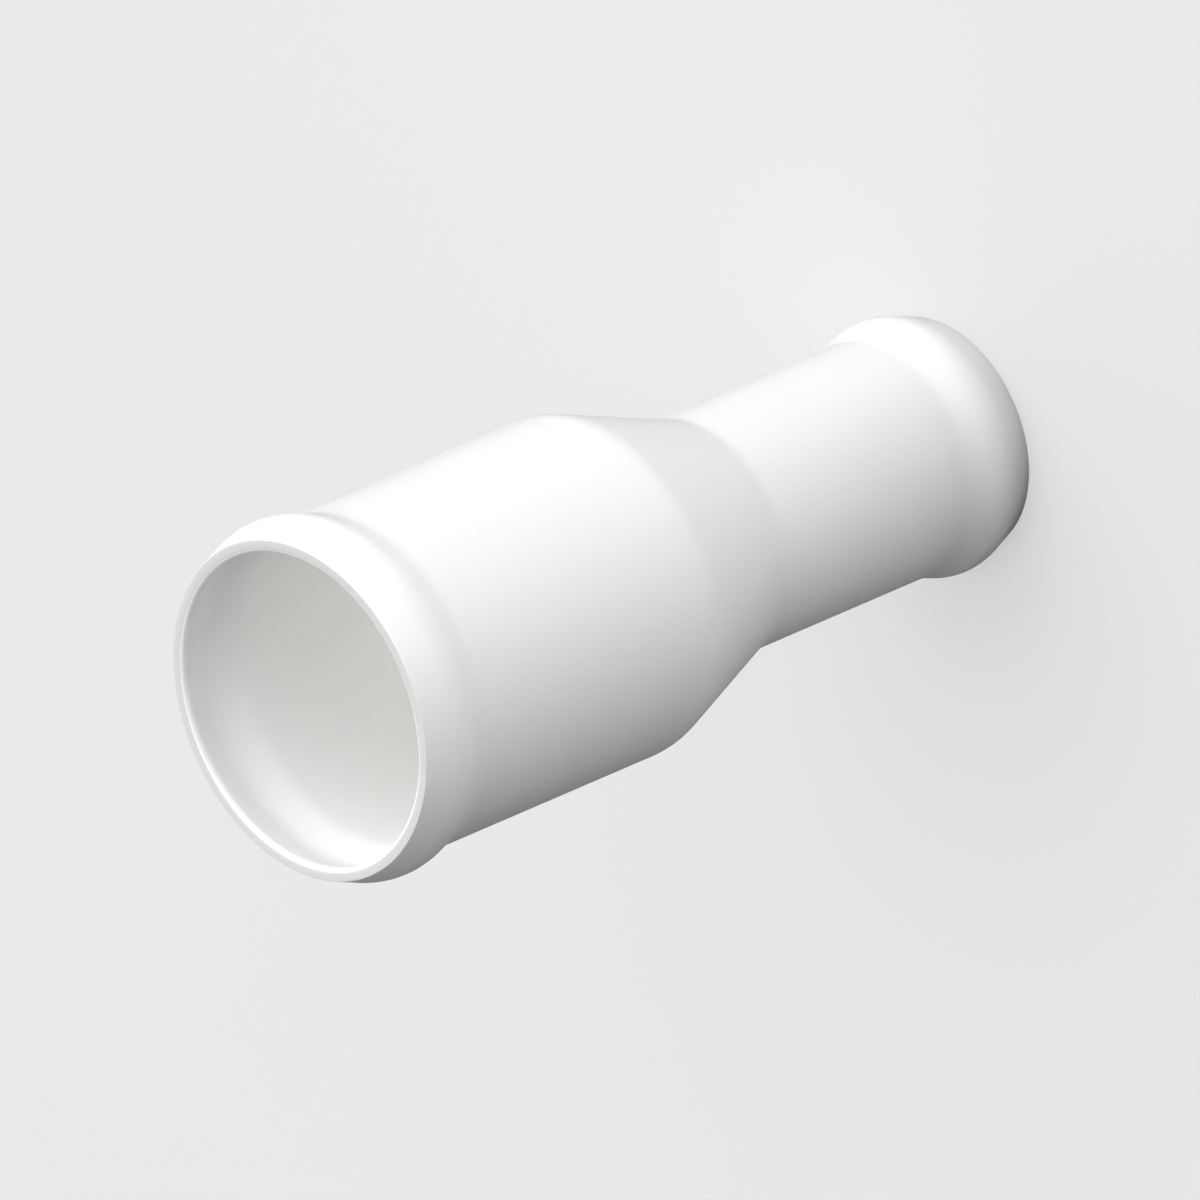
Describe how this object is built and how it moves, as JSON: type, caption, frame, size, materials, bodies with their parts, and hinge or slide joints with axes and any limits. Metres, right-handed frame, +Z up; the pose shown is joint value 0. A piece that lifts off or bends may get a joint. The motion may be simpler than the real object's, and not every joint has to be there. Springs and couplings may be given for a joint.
{
  "type": "concentric pipe reducer",
  "caption": "Straight white reducing spool: a wide tube tapers to a narrower one, with a swelled bead behind each plain lip for a clamped sleeve.",
  "frame": {"origin": "centre of the small end face, which is the lowest plane", "axes": "+Z up the middle of the bore, from the small end to the large end; round about Z, so X and Y are equal"},
  "size_m": [0.1697, 0.1698, 0.4],
  "materials": {
    "body": "smooth moulded white, soft gloss"
  },
  "bodies": {
    "root": {"beaded_reducer": "body"}
  },
  "joints": []
}
